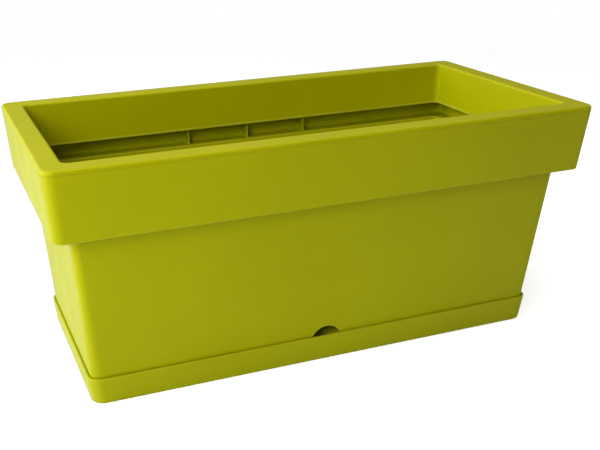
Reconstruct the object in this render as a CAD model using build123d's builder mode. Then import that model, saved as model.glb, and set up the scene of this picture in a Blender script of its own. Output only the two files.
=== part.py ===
"""Self watering trough planter: a tub with a framed rim, standing in a shallow water tray.

Units are millimetres.  +X runs along the length, +Y to the back, +Z up.  The origin is on the
ground, under the middle of the planter.
"""
from build123d import *
import math
import os

# ---------------------------------------------------------------- driving dimensions
TOP_LENGTH = 800.0        # over the rim
TOP_WIDTH = 387.6
HEIGHT = 355.8
DRAFT = math.tan(math.radians(4.25))    # every tall wall leans out by this much per mm of height
WALL = 3.0

BAND_HEIGHT = 96.5        # the wide band round the top, rim included
BAND_STEP = 24.6          # how far the band stands out from the body, each side
BAND_CORNER = 16.0        # plan radius of the band's corners
BODY_CORNER_TOP = 12.0
BODY_CORNER_LOW = 15.5
BAND_EDGE = 1.6           # round on the band's lower edge
SHELF_FILLET = 6.0        # inside, where the ledge meets the band's wall
LEDGE_EDGE = 1.5          # round where the ledge turns down into the body
FLOOR_FILLET = 5.0

RIM_WIDTH = 31.6          # flat top of the rim frame
RIM_PLATE = 4.0
RIM_BORDER = 6.5          # the rim's outer border, which sits on top of the band's wall
RIM_EDGE = 4.5            # round on the rim's outer top edge
RIM_INNER_EDGE = 4.0      # round on its inner top edge
RIM_SEAM = 0.2            # fine joint line between rim frame and band
SKIRT_DEPTH = 67.2        # inner skirt, measured from the top
SKIRT_WALL = 2.5
SKIRT_CORNER = 9.0
SKIRT_BEAD = 1.2          # bead along the skirt's free lower edge, towards the soil
SKIRT_EDGE = 0.5          # round on the bead
LIP_DEPTH = 6.0           # locating lip that drops inside the band's wall
LIP_WALL = 2.0
FIT_GAP = 0.3             # clearance between pieces that locate in each other

RIB_PITCH = 104.0         # stiffening ribs behind the skirt, three on each long side
RIB_WALL = 3.2
RIB_TOP_GAP = 10.0        # below the rim frame
RIB_REACH = 17.5          # how far a rib stands out from the band's wall
GUSSET_WALL = 2.0         # webs under the rim frame
GUSSET_DROP = 26.0
GUSSET_REACH = 20.0
GUSSET_STEPS = (-7, -5, -3, -1, 1, 3, 5, 7)    # in half rib pitches along the length
END_GUSSET_PITCH = 85.0

TRAY_HEIGHT = 41.2
TRAY_PROUD = 4.2          # how far the tray stands out from the body at its rim
TRAY_TAPER = 3.8          # per side, over the tray's height
TRAY_WALL = 2.6
TRAY_BEAD = 1.0           # bead inside the rim, which closes the gap to the tub
TRAY_CORNER_TOP = 18.0
TRAY_CORNER_LOW = 19.0
TRAY_FLOOR = 3.0
TRAY_BASE_EDGE = 4.0      # round on the tray's bottom edge
TRAY_RIM_EDGE = 1.2
FOOT_RECESS = 1.0         # the tray stands on a ring and three bars
FOOT_BAR = 16.0
FOOT_BAR_PITCH = 176.0
FOOT_PANELS = 4

RESERVE_DEPTH = 36.0      # water space between tray floor and tub floor
CROSS_RIB_LIFT = 8.0      # the ribs under the tub's floor stop short, so water passes
CROSS_RIB_WALL = 2.5
PORT_WIDTH = 30.0         # openings in the tub's foot that let water in
PORT_HEIGHT = 9.0
PORT_PITCH = 159.0
PORT_COUNT = 4
PORT_CORNER = 4.0

CUP_PITCH_X = 212.0
CUP_PITCH_Y = 150.0
CUP_GRID = (3, 2)         # wick cups along and across
CUP_TOP_RADIUS = 30.0
CUP_LOW_RADIUS = 25.0
CUP_WALL = 2.0
CUP_FLANGE_RADIUS = 36.0
CUP_FLANGE = 2.5
CUP_LIFT = 1.0            # gap between cup and tray floor
CUP_SLOTS = 8
CUP_SLOT = (4.0, 22.0)    # width and height
CUP_BASE_HOLE = 4.0
CUP_BASE_EDGE = 1.5
CUP_FIT_GAP = 0.4         # the cup is loose in its seat, so that it lifts out

DRAIN_RADIUS = 2.5        # drain holes through the tub's floor
DRAIN_PITCH = 53.0
DRAIN_PITCH_Y = 125.0
DRAIN_COUNT = 12          # along the length, in each row
DRAIN_ROWS = 3

NOTCH_RADIUS = 24.5       # half-round filling notch above the tray's rim
NOTCH_CENTRE_Z = 31.2
NOTCH_FOOT = 14.0         # straight part below the notch's centre, hidden by the tray
POCKET_WALL = 2.5
POCKET_FOOT = 15.0        # the pocket's wall ends this far below the notch's centre

# ---------------------------------------------------------------- levels that follow
SHELF_Z = HEIGHT - BAND_HEIGHT
SEAM_Z = HEIGHT - RIM_BORDER - RIM_SEAM
SKIRT_Z = HEIGHT - SKIRT_DEPTH
TUB_BASE_Z = FOOT_RECESS + TRAY_FLOOR
FLOOR_LOW_Z = TUB_BASE_Z + RESERVE_DEPTH
FLOOR_TOP_Z = FLOOR_LOW_Z + WALL
SKIRT_INSET = RIM_WIDTH - SKIRT_WALL
LIP_INSET = WALL + FIT_GAP
BODY_INSET = BAND_STEP + WALL
OVER = 2.0                # how far a cutting block runs past the face it cuts
NEAR = 0.01               # a face within this of a level lies on it
ROOT = 1.0                # how far a rib or web is sunk into the wall it grows from


def half_width(z, inset):
    """Half the planter's width at a height, for a wall face set in from the band's face."""
    return TOP_WIDTH / 2 - inset - (HEIGHT - z) * DRAFT


def half_length(z, inset):
    return half_width(z, inset) + (TOP_LENGTH - TOP_WIDTH) / 2


def outline(z, inset, corner):
    """A rounded rectangle at a height, set in from the band's leaning face."""
    with BuildSketch(Plane.XY.offset(z)) as shape:
        RectangleRounded(2 * half_length(z, inset), 2 * half_width(z, inset), corner)
    return shape.sketch


def leaning_block(low_z, high_z, inset, low_corner, high_corner, mode=Mode.ADD):
    """A solid between two heights, with every side on the planter's draft."""
    loft([outline(low_z, inset, low_corner), outline(high_z, inset, high_corner)], mode=mode)


def web(points, plane, thickness, mode=Mode.ADD):
    """A thin upright web with the given outline, centred on its plane."""
    with BuildSketch(plane) as shape:
        with BuildLine():
            Polyline(*points, close=True)
        make_face()
    extrude(shape.sketch, amount=thickness / 2, both=True, mode=mode)


def tray_size(z, inset=0.0):
    """Length and width of the tray's outer face at a height, less a wall inset."""
    shrink = TRAY_PROUD - TRAY_TAPER * (TRAY_HEIGHT - z) / TRAY_HEIGHT - inset
    return (2 * (half_length(TRAY_HEIGHT, BAND_STEP) + shrink),
            2 * (half_width(TRAY_HEIGHT, BAND_STEP) + shrink))


def tray_block(low_z, high_z, inset, mode=Mode.ADD):
    """A solid between two heights that follows the tray's outer face, less a wall inset."""
    sections = []
    for z, corner in ((low_z, TRAY_CORNER_LOW), (high_z, TRAY_CORNER_TOP)):
        with BuildSketch(Plane.XY.offset(z)) as shape:
            RectangleRounded(*tray_size(z, inset), corner - inset)
        sections.append(shape.sketch)
    loft(sections, mode=mode)


# The filling pocket leans with the front wall: its axis runs up the middle of the wall.
POCKET_ORIGIN = Vector(0, -half_width(NOTCH_CENTRE_Z, BAND_STEP + WALL / 2), NOTCH_CENTRE_Z)
POCKET_UP = Vector(0, -DRAFT, 1).normalized()
POCKET_AXIS = Axis(POCKET_ORIGIN, POCKET_UP)
POCKET_PLANE = Plane(POCKET_ORIGIN, x_dir=(1, 0, 0), z_dir=Vector(1, 0, 0).cross(POCKET_UP))


def pocket_half(radius, foot, turn, mode=Mode.ADD):
    """A round-topped shaft turned about the pocket's axis, with its foot below the centre."""
    with BuildSketch(POCKET_PLANE) as profile:
        with BuildLine():
            Line((0, radius), (0, -foot))
            Line((0, -foot), (radius, -foot))
            Line((radius, -foot), (radius, 0))
            RadiusArc((radius, 0), (0, radius), -radius)
        make_face()
    revolve(profile.sketch, POCKET_AXIS, turn, mode=mode)


# ---------------------------------------------------------------- water tray
with BuildPart() as water_tray:
    tray_block(0, TRAY_HEIGHT, 0)
    fillet(water_tray.faces().sort_by(Axis.Z)[0].edges(), TRAY_BASE_EDGE)
    tray_block(TUB_BASE_Z, TRAY_HEIGHT - 2 * TRAY_BEAD, TRAY_WALL, Mode.SUBTRACT)
    tray_block(TUB_BASE_Z, TRAY_HEIGHT + OVER, TRAY_WALL + TRAY_BEAD, Mode.SUBTRACT)
    fillet(water_tray.faces().sort_by(Axis.Z)[-1].edges(), TRAY_RIM_EDGE)
    # Shallow panels underneath leave a ring and three bars to stand on.
    panel_length = FOOT_BAR_PITCH - FOOT_BAR
    panel_width = tray_size(0)[1] - 2 * (TRAY_BASE_EDGE + FOOT_BAR)
    with BuildSketch(Plane.XY) as panels:
        with GridLocations(FOOT_BAR_PITCH, 0, FOOT_PANELS, 1):
            RectangleRounded(panel_length, panel_width, FOOT_BAR / 2)
    extrude(panels.sketch, amount=FOOT_RECESS, mode=Mode.SUBTRACT)
water_tray.part.label = "water_tray"

# ---------------------------------------------------------------- planter tub
with BuildPart() as soil_space:
    leaning_block(FLOOR_TOP_Z, SHELF_Z + WALL + OVER, BODY_INSET,
                  BODY_CORNER_LOW - WALL, BODY_CORNER_TOP - WALL)
    fillet(soil_space.faces().sort_by(Axis.Z)[0].edges(), FLOOR_FILLET)

with BuildPart() as band_space:
    leaning_block(SHELF_Z + WALL, SEAM_Z + OVER, WALL, BAND_CORNER - WALL, BAND_CORNER - WALL)
    fillet(band_space.faces().sort_by(Axis.Z)[0].edges(), SHELF_FILLET)

with BuildPart() as planter_tub:
    leaning_block(SHELF_Z, SEAM_Z, 0, BAND_CORNER, BAND_CORNER)
    fillet(planter_tub.faces().sort_by(Axis.Z)[0].edges(), BAND_EDGE)
    leaning_block(TUB_BASE_Z, SHELF_Z + WALL, BAND_STEP, BODY_CORNER_LOW, BODY_CORNER_TOP)
    add(band_space.part, mode=Mode.SUBTRACT)
    add(soil_space.part, mode=Mode.SUBTRACT)
    leaning_block(TUB_BASE_Z - OVER, FLOOR_LOW_Z, BODY_INSET,
                  BODY_CORNER_LOW - WALL, BODY_CORNER_LOW - WALL, Mode.SUBTRACT)
    ledge = planter_tub.faces().filter_by(Plane.XY).filter_by_position(
        Axis.Z, SHELF_Z + WALL - NEAR, SHELF_Z + WALL + NEAR)[0]
    fillet(ledge.inner_wires()[0].edges(), LEDGE_EDGE)
    # Ribs stand on the ledge behind the skirt and lean with it.
    rib_top = SEAM_Z - RIB_TOP_GAP
    for x in (-RIB_PITCH, 0.0, RIB_PITCH):
        for side in (-1, 1):
            rib = [(side * half_width(z, inset), z)
                   for z, inset in ((SHELF_Z + WALL / 2, WALL / 2), (rib_top, WALL / 2),
                                    (rib_top, WALL + RIB_REACH),
                                    (SHELF_Z + WALL / 2, WALL + RIB_REACH))]
            web(rib, Plane.YZ.offset(x), RIB_WALL)
    # Cross ribs under the floor.
    cross_low = TUB_BASE_Z + CROSS_RIB_LIFT
    cross_rib = [(side * half_width(z, BODY_INSET - ROOT), z)
                 for side, z in ((-1, cross_low), (1, cross_low),
                                 (1, FLOOR_LOW_Z + ROOT), (-1, FLOOR_LOW_Z + ROOT))]
    for x in (-RIB_PITCH, RIB_PITCH):
        web(cross_rib, Plane.YZ.offset(x), CROSS_RIB_WALL)
    # Domed pocket behind the filling notch: open to the front and down into the tray.
    pocket_half(NOTCH_RADIUS + POCKET_WALL, POCKET_FOOT, 180)
    pocket_half(NOTCH_RADIUS, POCKET_FOOT + OVER, 180, Mode.SUBTRACT)
    pocket_half(NOTCH_RADIUS, NOTCH_FOOT, 360, Mode.SUBTRACT)
    # Seats for the wick cups, and drain holes round them.
    with BuildSketch(Plane.XY.offset(FLOOR_LOW_Z - OVER)) as floor_holes:
        with GridLocations(CUP_PITCH_X, CUP_PITCH_Y, *CUP_GRID):
            Circle(CUP_TOP_RADIUS + CUP_FIT_GAP)
        with GridLocations(DRAIN_PITCH, DRAIN_PITCH_Y, DRAIN_COUNT, DRAIN_ROWS):
            Circle(DRAIN_RADIUS)
    extrude(floor_holes.sketch, amount=WALL + 2 * OVER, mode=Mode.SUBTRACT)
    # Ports in the foot let water pass under the tub.
    with BuildSketch(Plane.XZ.offset(-TOP_WIDTH / 2)) as ports:
        with Locations((0, TUB_BASE_Z)):
            with GridLocations(PORT_PITCH, 0, PORT_COUNT, 1):
                RectangleRounded(PORT_WIDTH, 2 * PORT_HEIGHT, PORT_CORNER)
    extrude(ports.sketch, amount=TOP_WIDTH, mode=Mode.SUBTRACT)
planter_tub.part.label = "planter_tub"

# ---------------------------------------------------------------- rim frame
with BuildPart() as locating_lip:
    leaning_block(SEAM_Z - LIP_DEPTH, HEIGHT - RIM_PLATE / 2, LIP_INSET,
                  BAND_CORNER - LIP_INSET, BAND_CORNER - LIP_INSET)
    leaning_block(SEAM_Z - LIP_DEPTH - OVER, HEIGHT, LIP_INSET + LIP_WALL,
                  BAND_CORNER - LIP_INSET - LIP_WALL, BAND_CORNER - LIP_INSET - LIP_WALL,
                  Mode.SUBTRACT)

with BuildPart() as border_space:
    leaning_block(SEAM_Z - OVER, HEIGHT - RIM_PLATE, LIP_INSET + LIP_WALL / 2,
                  BAND_CORNER - LIP_INSET - LIP_WALL / 2, BAND_CORNER - LIP_INSET - LIP_WALL / 2)

with BuildPart() as rim_frame:
    leaning_block(SEAM_Z + RIM_SEAM, HEIGHT, 0, BAND_CORNER, BAND_CORNER)
    add(border_space.part, mode=Mode.SUBTRACT)
    leaning_block(SKIRT_Z, HEIGHT - RIM_PLATE / 2, SKIRT_INSET,
                  SKIRT_CORNER + SKIRT_WALL, SKIRT_CORNER + SKIRT_WALL)
    leaning_block(SKIRT_Z + 2 * SKIRT_BEAD, HEIGHT + OVER, RIM_WIDTH, SKIRT_CORNER, SKIRT_CORNER,
                  Mode.SUBTRACT)
    leaning_block(SKIRT_Z - OVER, HEIGHT, RIM_WIDTH + SKIRT_BEAD, SKIRT_CORNER - SKIRT_BEAD,
                  SKIRT_CORNER - SKIRT_BEAD, Mode.SUBTRACT)
    rim_top = rim_frame.faces().sort_by(Axis.Z)[-1]
    fillet(rim_top.outer_wire().edges(), RIM_EDGE)
    rim_top = rim_frame.faces().sort_by(Axis.Z)[-1]
    fillet(rim_top.inner_wires()[0].edges(), RIM_INNER_EDGE)
    fillet(rim_frame.faces().sort_by(Axis.Z)[0].edges(), SKIRT_EDGE)
    add(locating_lip.part)
    # Webs stiffen the corner between plate and skirt, clear of the tub's ribs.
    web_top = HEIGHT - RIM_PLATE / 2
    web_low = SEAM_Z - GUSSET_DROP
    for side in (-1, 1):
        for k in GUSSET_STEPS:
            points = [(side * half_width(web_top, RIM_WIDTH - ROOT), web_top),
                      (side * (half_width(web_top, RIM_WIDTH) + GUSSET_REACH), web_top),
                      (side * half_width(web_low, RIM_WIDTH - ROOT), web_low)]
            web(points, Plane.YZ.offset(k * RIB_PITCH / 2), GUSSET_WALL)
        for y in (-END_GUSSET_PITCH, 0.0, END_GUSSET_PITCH):
            points = [(side * half_length(web_top, RIM_WIDTH - ROOT), web_top),
                      (side * (half_length(web_top, RIM_WIDTH) + GUSSET_REACH), web_top),
                      (side * half_length(web_low, RIM_WIDTH - ROOT), web_low)]
            web(points, Plane.XZ.offset(-y), GUSSET_WALL)
rim_frame.part.label = "rim_frame"


# ---------------------------------------------------------------- wick cups
def make_wick_cup(x, y):
    """A slotted cup that drops through the tub's floor and hangs in the water by its flange."""
    low_z = TUB_BASE_Z + CUP_LIFT
    flange_z = FLOOR_TOP_Z + CUP_FLANGE
    with BuildPart(Plane((x, y, 0))) as cup:
        with BuildSketch(Plane((x, y, 0), x_dir=(1, 0, 0), z_dir=(0, -1, 0))) as profile:
            with BuildLine():
                Polyline((0, low_z), (CUP_LOW_RADIUS, low_z), (CUP_TOP_RADIUS, FLOOR_LOW_Z),
                         (CUP_TOP_RADIUS, FLOOR_TOP_Z), (CUP_FLANGE_RADIUS, FLOOR_TOP_Z),
                         (CUP_FLANGE_RADIUS, flange_z), (CUP_TOP_RADIUS - CUP_WALL, flange_z),
                         (CUP_TOP_RADIUS - CUP_WALL, FLOOR_LOW_Z),
                         (CUP_LOW_RADIUS - CUP_WALL, low_z + CUP_WALL), (0, low_z + CUP_WALL),
                         close=True)
            make_face()
        revolve(profile.sketch, Axis((x, y, 0), (0, 0, 1)))
        fillet(cup.faces().sort_by(Axis.Z)[0].edges(), CUP_BASE_EDGE)
        with Locations((0, 0, low_z + CUP_WALL)):
            Hole(CUP_BASE_HOLE)
        slot_mid_z = (low_z + CUP_WALL + FLOOR_LOW_Z) / 2
        with Locations((0, 0, slot_mid_z)):
            with PolarLocations(CUP_LOW_RADIUS, CUP_SLOTS, start_angle=180 / CUP_SLOTS):
                Box(4 * CUP_WALL + (CUP_TOP_RADIUS - CUP_LOW_RADIUS), *CUP_SLOT, mode=Mode.SUBTRACT)
    return cup.part


wick_cups = []
for row, y_side in (("front", -1), ("rear", 1)):
    for column, x_side in (("left", -1), ("centre", 0), ("right", 1)):
        wick_cup = make_wick_cup(x_side * CUP_PITCH_X, y_side * CUP_PITCH_Y / 2)
        wick_cup.label = f"wick_cup_{row}_{column}"
        wick_cups.append(wick_cup)

# ---------------------------------------------------------------- one STEP file per piece
os.makedirs("parts", exist_ok=True)
for piece in [water_tray.part, planter_tub.part, rim_frame.part] + wick_cups:
    export_step(piece, f"parts/{piece.label}.step")
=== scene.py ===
"""Looks for the self watering trough planter: camera, light and moulded plastic round the CAD frame.

Metres, in the CAD's own frame: +X along the length, +Y to the back, +Z up, ground at Z = 0.
"""
import math

import bpy
from mathutils import Matrix, Vector


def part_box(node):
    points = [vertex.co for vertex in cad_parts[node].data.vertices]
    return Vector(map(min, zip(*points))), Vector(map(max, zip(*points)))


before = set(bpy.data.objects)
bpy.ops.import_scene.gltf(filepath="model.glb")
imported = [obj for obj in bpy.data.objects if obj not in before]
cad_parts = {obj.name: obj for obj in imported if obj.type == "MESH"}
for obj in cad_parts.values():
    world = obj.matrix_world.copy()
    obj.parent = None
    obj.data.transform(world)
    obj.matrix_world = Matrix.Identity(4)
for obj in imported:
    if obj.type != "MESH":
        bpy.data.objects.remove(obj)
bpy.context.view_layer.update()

WHITE = (1.0, 1.0, 1.0, 1.0)

# ---------------------------------------------------------------- camera
CAMERA_PLACE = Vector((-0.5297, -1.1831, 0.6656))
CAMERA_TURN = math.radians(-19.42)     # azimuth of the view, from straight along +Y
CAMERA_TILT = math.radians(21.79)      # downwards
CAMERA_ROLL = math.radians(-1.25)
CAMERA_LENS = 52.87                    # mm
CAMERA_SHIFT = (0.1343, 0.0152)
CAMERA_CLIP = (0.05, 50.0)
SENSOR_WIDTH = 36.0                    # mm


def make_camera():
    """The photograph's viewing angle, from just left of the planter's front."""
    data = bpy.data.cameras.new("camera")
    data.sensor_width = SENSOR_WIDTH
    data.lens = CAMERA_LENS
    data.shift_x, data.shift_y = CAMERA_SHIFT
    data.clip_start, data.clip_end = CAMERA_CLIP
    camera = bpy.data.objects.new("camera", data)
    bpy.context.scene.collection.objects.link(camera)
    look = Vector((-math.sin(CAMERA_TURN) * math.cos(CAMERA_TILT),
                   math.cos(CAMERA_TURN) * math.cos(CAMERA_TILT),
                   -math.sin(CAMERA_TILT)))
    right = Vector((math.cos(CAMERA_TURN), math.sin(CAMERA_TURN), 0.0))
    up = right.cross(look)
    rolled_right = math.cos(CAMERA_ROLL) * right + math.sin(CAMERA_ROLL) * up
    rolled_up = math.cos(CAMERA_ROLL) * up - math.sin(CAMERA_ROLL) * right
    turn = Matrix((rolled_right, rolled_up, -look)).transposed()
    camera.matrix_world = Matrix.Translation(CAMERA_PLACE) @ turn.to_4x4()
    bpy.context.scene.camera = camera


# ---------------------------------------------------------------- floor
FLOOR_RADIUS = 6.0
FLOOR_SIDES = 96
FLOOR_COLOUR = (0.92, 0.97, 0.87, 1.0)    # offsets the lamps' lilac tint, so that it looks white
FLOOR_ROUGHNESS = 0.9
FLOOR_GLOSS = 0.1
FLOOR_FADE = (1.3, 3.2)                   # melts into the white surround between these radii
FLOOR_GLOW = 0.68                         # added to what the camera sees of the floor: its shadows stay pale


def make_floor():
    """A pale round floor, solid under the planter and fading into the white surround."""
    bpy.ops.mesh.primitive_circle_add(vertices=FLOOR_SIDES, radius=FLOOR_RADIUS, fill_type="NGON")
    floor = bpy.context.object
    floor.name = "floor"
    material = bpy.data.materials.new("pale_floor")
    material.use_nodes = True
    nodes, links = material.node_tree.nodes, material.node_tree.links
    shader = nodes["Principled BSDF"]
    shader.inputs["Base Color"].default_value = FLOOR_COLOUR
    shader.inputs["Roughness"].default_value = FLOOR_ROUGHNESS
    shader.inputs["Specular IOR Level"].default_value = FLOOR_GLOSS
    shader.inputs["Emission Color"].default_value = WHITE
    glow = nodes.new("ShaderNodeMath")
    glow.operation = "MULTIPLY"
    glow.inputs[1].default_value = FLOOR_GLOW
    links.new(nodes.new("ShaderNodeLightPath").outputs["Is Camera Ray"], glow.inputs[0])
    links.new(glow.outputs["Value"], shader.inputs["Emission Strength"])
    place = nodes.new("ShaderNodeTexCoord")
    distance = nodes.new("ShaderNodeVectorMath")
    distance.operation = "LENGTH"
    links.new(place.outputs["Object"], distance.inputs[0])
    fade = nodes.new("ShaderNodeMapRange")
    fade.interpolation_type = "SMOOTHSTEP"
    fade.inputs["From Min"].default_value, fade.inputs["From Max"].default_value = FLOOR_FADE
    fade.inputs["To Min"].default_value, fade.inputs["To Max"].default_value = 1.0, 0.0
    links.new(distance.outputs["Value"], fade.inputs["Value"])
    links.new(fade.outputs["Result"], shader.inputs["Alpha"])
    floor.data.materials.append(material)


# ---------------------------------------------------------------- light
# name: place, target, (width, height), watts, colour
LIGHTS = {
    "left_window": ((-2.6, 0.0, 0.9), (0.0, 0.0, 0.2), (2.0, 2.0), 50.0, (0.89, 0.88, 1.0)),
    "back_left": ((-2.0, 2.2, 1.5), (0.0, 0.0, 0.2), (2.0, 2.0), 25.0, (0.73, 0.73, 1.0)),
    "overhead": ((0.0, 0.0, 2.6), (0.0, 0.0, 0.0), (2.5, 2.5), 33.0, (0.93, 0.83, 1.0)),
    "high_left": ((-1.6, 0.0, 2.0), (0.0, 0.0, 0.2), (1.5, 1.5), 29.0, (0.54, 0.60, 1.0)),
    "right_fill": ((2.6, 0.3, 0.5), (0.0, 0.0, 0.2), (1.2, 1.2), 9.0, (0.95, 0.95, 1.0)),
    "near_left": ((-1.2, -1.3, 1.2), (-0.2, 0.0, 0.2), (0.8, 0.8), 15.0, (0.98, 0.96, 1.0)),
}
SURROUND_GLOSS = (0.58, 0.12)  # how bright the surround is in the planter's gloss, left and right


def area_light(name, place, target, size, power, colour):
    """A soft box that faces its target."""
    data = bpy.data.lights.new(name, "AREA")
    data.shape = "RECTANGLE"
    data.size, data.size_y = size
    data.energy = power
    data.color = colour
    light = bpy.data.objects.new(name, data)
    light.location = place
    light.rotation_mode = "QUATERNION"
    light.rotation_quaternion = (Vector(target) - Vector(place)).to_track_quat("-Z", "Y")
    bpy.context.scene.collection.objects.link(light)


def make_surround():
    """A white backdrop, mirrored more on the left; only the lamps light matt surfaces."""
    world = bpy.data.worlds.new("studio")
    world.use_nodes = True
    nodes, links = world.node_tree.nodes, world.node_tree.links
    backdrop = nodes["Background"]
    backdrop.inputs["Color"].default_value = WHITE
    ray = nodes.new("ShaderNodeLightPath")
    direction = nodes.new("ShaderNodeSeparateXYZ")
    links.new(nodes.new("ShaderNodeTexCoord").outputs["Generated"], direction.inputs["Vector"])
    side = nodes.new("ShaderNodeMapRange")
    side.inputs["From Min"].default_value, side.inputs["From Max"].default_value = -1.0, 1.0
    side.inputs["To Min"].default_value, side.inputs["To Max"].default_value = SURROUND_GLOSS
    links.new(direction.outputs["X"], side.inputs["Value"])
    mirrored = nodes.new("ShaderNodeMath")
    mirrored.operation = "MULTIPLY"
    links.new(side.outputs["Result"], mirrored.inputs[1])
    links.new(ray.outputs["Is Glossy Ray"], mirrored.inputs[0])
    strength = nodes.new("ShaderNodeMath")
    strength.operation = "MAXIMUM"
    links.new(ray.outputs["Is Camera Ray"], strength.inputs[0])
    links.new(mirrored.outputs["Value"], strength.inputs[1])
    links.new(strength.outputs["Value"], backdrop.inputs["Strength"])
    bpy.context.scene.world = world


def make_lights():
    """The studio: soft boxes, the surround, and colours shown as they are."""
    for name, light in LIGHTS.items():
        area_light(name, *light)
    make_surround()
    bpy.context.scene.view_settings.view_transform = "Standard"


# ---------------------------------------------------------------- moulded plastic
LIME = (0.435, 0.44, 0.0005)
LIME_HIGHLIGHT_AND_SCRATCH = (0.58, 0.58, 0.10)               # painted highlight: rounded edges paled as if they mirrored the lamps; the hairlines share this colour
LIME_SHEEN_TINT = (0.90, 0.98, 0.05, 1.0)    # what the surface mirrors head-on; white at grazing
LIME_ROUGHNESS = 0.5
CUP_GREY = (0.05, 0.055, 0.045)
# painted highlight on the cups' rounded edges; also the colour of their hairlines
CUP_HIGHLIGHT_AND_SCRATCH = (0.14, 0.15, 0.13)
CUP_ROUGHNESS = 0.45
PLASTIC_IOR = 1.49
MIX_COLOURS_IN = (6, 7)       # the colour sockets of a Mix node
MIX_COLOUR_OUT = 2

# Each noise: features per metre, and how many finer layers it has.
WARP_NOISE = (9.0, 1.0)
PIT_NOISE = (520.0, 3.0)
GRAIN_NOISE = (1400.0, 2.0)
FLOW_NOISE = (4.0, 5.0)
RUB_NOISE = (22.0, 4.0)
EDGE_NOISE = (60.0, 3.0)
SCRATCH_PATCH_NOISE = (7.0, 2.0)

# Each bump: height in metres, and strength.
WARP_BUMP = (0.0015, 0.05)    # walls are never quite flat
PIT_BUMP = (0.0004, 0.12)
GRAIN_BUMP = (0.0002, 0.15)

NOISE_SPAN = (0.3, 0.7)       # nearly all of a noise lies between these
TINT_SWING = 0.05
ROUGHNESS_SWING = 0.06
EDGE_WIDTH = 0.0035           # how far round a corner the painted highlight and the polish reach
EDGE_SAMPLES = 6
EDGE_TURN = (0.995, 0.90)     # cosine of the rounded normal's turn: where the painted highlight starts, where it is full
EDGE_NOISE_SPAN = (0.3, 0.6)
EDGE_LEAST = 0.45             # painted highlight left in its faintest stretches
# how strongly the painted highlight pales the edges
EDGE_PAINTED_HIGHLIGHT = 0.3
EDGE_ROUGHNESS_DROP = 0.10
SEAM_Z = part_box("planter_tub")[1][2]         # no painted edge highlight in the fine joint between band and rim frame
SEAM_HALF = (0.0010, 0.0030)
SCRATCH_STRETCH = (260.0, 260.0, 5.0)        # hairlines from stacking, mostly upright
SCRATCH_LEAN = math.radians(9)
SCRATCH_SPAN = (0.80, 0.86)                  # only the noise's peaks are hairlines
SCRATCH_PATCH_SPAN = (0.52, 0.64)
SCRATCH_PALE = 0.16


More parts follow.
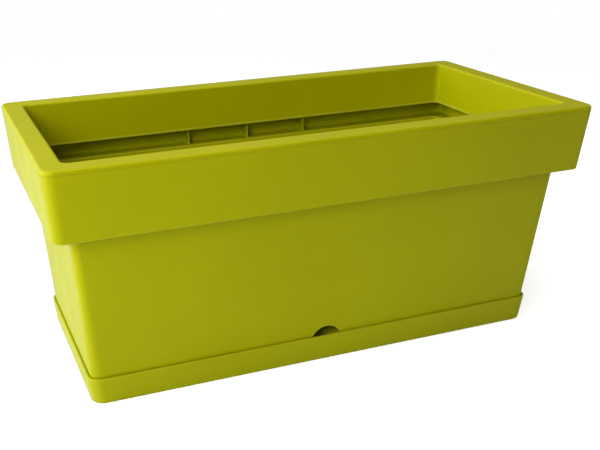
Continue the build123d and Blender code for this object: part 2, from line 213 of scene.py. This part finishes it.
class Plastic:
    """Builds one material's node tree; every value is worked out from the object's own space."""

    def __init__(self, name):
        self.material = bpy.data.materials.new(name)
        self.material.use_nodes = True
        self.nodes = self.material.node_tree.nodes
        self.links = self.material.node_tree.links
        self.shader = self.nodes["Principled BSDF"]
        self.place = self.nodes.new("ShaderNodeTexCoord").outputs["Object"]

    def noise(self, scale, detail, place=None):
        """A noise from 0 to 1, in the object's own space unless another place is given."""
        texture = self.nodes.new("ShaderNodeTexNoise")
        texture.inputs["Scale"].default_value = scale
        texture.inputs["Detail"].default_value = detail
        self.links.new(place or self.place, texture.inputs["Vector"])
        return texture.outputs["Fac"]

    def spread(self, value, low_in, high_in, low, high):
        """Maps a range of a value onto another range, and holds it there."""
        ranged = self.nodes.new("ShaderNodeMapRange")
        ranged.inputs["From Min"].default_value = low_in
        ranged.inputs["From Max"].default_value = high_in
        ranged.inputs["To Min"].default_value = low
        ranged.inputs["To Max"].default_value = high
        self.links.new(value, ranged.inputs["Value"])
        return ranged.outputs["Result"]

    def math(self, operation, first, second):
        """Combines two values, each one a fixed number or another node's output."""
        node = self.nodes.new("ShaderNodeMath")
        node.operation = operation
        for socket, value in zip(node.inputs, (first, second)):
            if isinstance(value, float):
                socket.default_value = value
            else:
                self.links.new(value, socket)
        return node.outputs["Value"]

    def mix(self, factor, first, second):
        """Mixes two colours, each one a fixed colour or another node's output."""
        node = self.nodes.new("ShaderNodeMix")
        node.data_type = "RGBA"
        self.links.new(factor, node.inputs["Factor"])
        for index, colour in zip(MIX_COLOURS_IN, (first, second)):
            socket = node.inputs[index]
            if isinstance(colour, tuple):
                socket.default_value = (*colour, 1.0)
            else:
                self.links.new(colour, socket)
        return node.outputs[MIX_COLOUR_OUT]

    def bump(self, height, distance, strength, below=None):
        """A bump layer, over another one if it is given."""
        layer = self.nodes.new("ShaderNodeBump")
        layer.inputs["Strength"].default_value = strength
        layer.inputs["Distance"].default_value = distance
        self.links.new(height, layer.inputs["Height"])
        if below is not None:
            self.links.new(below, layer.inputs["Normal"])
        return layer.outputs["Normal"]

    def edges(self):
        """1 along the object's corners and 0 on its flats, broken into patches: the mask of a painted edge
        highlight and of glossier edges.
        """
        rounded = self.nodes.new("ShaderNodeBevel")
        rounded.samples = EDGE_SAMPLES
        rounded.inputs["Radius"].default_value = EDGE_WIDTH
        true_normal = self.nodes.new("ShaderNodeNewGeometry").outputs["Normal"]
        likeness = self.nodes.new("ShaderNodeVectorMath")
        likeness.operation = "DOT_PRODUCT"
        self.links.new(rounded.outputs["Normal"], likeness.inputs[0])
        self.links.new(true_normal, likeness.inputs[1])
        corner = self.spread(likeness.outputs["Value"], *EDGE_TURN, 0.0, 1.0)
        height = self.nodes.new("ShaderNodeSeparateXYZ")
        self.links.new(self.place, height.inputs["Vector"])
        from_seam = self.math("ABSOLUTE", self.math("SUBTRACT", height.outputs["Z"], SEAM_Z), 0.0)
        corner = self.math("MULTIPLY", corner, self.spread(from_seam, *SEAM_HALF, 0.0, 1.0))
        patchy = self.spread(self.noise(*EDGE_NOISE), *EDGE_NOISE_SPAN, EDGE_LEAST, 1.0)
        return self.math("MULTIPLY", corner, patchy)

    def scratches(self):
        """A few fine, nearly upright hairlines in patches."""
        lean = self.nodes.new("ShaderNodeMapping")
        lean.inputs["Rotation"].default_value = (SCRATCH_LEAN, SCRATCH_LEAN, 0.0)
        lean.inputs["Scale"].default_value = SCRATCH_STRETCH
        self.links.new(self.place, lean.inputs["Vector"])
        lines = self.spread(self.noise(1.0, 0.0, lean.outputs["Vector"]), *SCRATCH_SPAN, 0.0, 1.0)
        patches = self.spread(self.noise(*SCRATCH_PATCH_NOISE), *SCRATCH_PATCH_SPAN, 0.0, 1.0)
        return self.math("MULTIPLY", lines, patches)


def moulded_plastic(name, colour, highlight_and_scratch_colour, roughness, mirror_tint):
    """Satin moulded plastic: eroded grain, slow swirls of tint, rubbed patches, and a painted highlight that
    pales the edges.
    """
    plastic = Plastic(name)
    plastic.shader.inputs["IOR"].default_value = PLASTIC_IOR
    plastic.shader.inputs["Specular Tint"].default_value = mirror_tint

    warp = plastic.bump(plastic.noise(*WARP_NOISE), *WARP_BUMP)
    pits = plastic.bump(plastic.noise(*PIT_NOISE), *PIT_BUMP, warp)
    grain = plastic.bump(plastic.noise(*GRAIN_NOISE), *GRAIN_BUMP, pits)
    plastic.links.new(grain, plastic.shader.inputs["Normal"])

    flow = plastic.spread(plastic.noise(*FLOW_NOISE), *NOISE_SPAN, 0.0, 1.0)
    body = plastic.mix(flow, tuple(c * (1 - TINT_SWING) for c in colour),
                       tuple(c * (1 + TINT_SWING) for c in colour))
    # painted highlight: the corners are paled as if they mirrored the lamps, and made glossier
    edge_highlight_and_polish = plastic.edges()
    edge_highlit = plastic.mix(plastic.math("MULTIPLY", edge_highlight_and_polish, EDGE_PAINTED_HIGHLIGHT), body, highlight_and_scratch_colour)
    marked = plastic.mix(plastic.math("MULTIPLY", plastic.scratches(), SCRATCH_PALE),
                         edge_highlit, highlight_and_scratch_colour)
    plastic.links.new(marked, plastic.shader.inputs["Base Color"])

    rubbed = plastic.spread(plastic.noise(*RUB_NOISE), *NOISE_SPAN,
                            roughness - ROUGHNESS_SWING, roughness + ROUGHNESS_SWING)
    polished = plastic.math("MULTIPLY", edge_highlight_and_polish, EDGE_ROUGHNESS_DROP)
    plastic.links.new(plastic.math("SUBTRACT", rubbed, polished),
                      plastic.shader.inputs["Roughness"])
    return plastic.material


def dress(node, material):
    """Gives a CAD node its material."""
    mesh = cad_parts[node].data
    mesh.materials.clear()
    mesh.materials.append(material)


make_camera()
make_floor()
make_lights()
lime = moulded_plastic("lime_plastic", LIME, LIME_HIGHLIGHT_AND_SCRATCH, LIME_ROUGHNESS, LIME_SHEEN_TINT)
grey = moulded_plastic("cup_plastic", CUP_GREY, CUP_HIGHLIGHT_AND_SCRATCH, CUP_ROUGHNESS, WHITE)
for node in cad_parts:
    dress(node, grey if node.startswith("wick_cup") else lime)
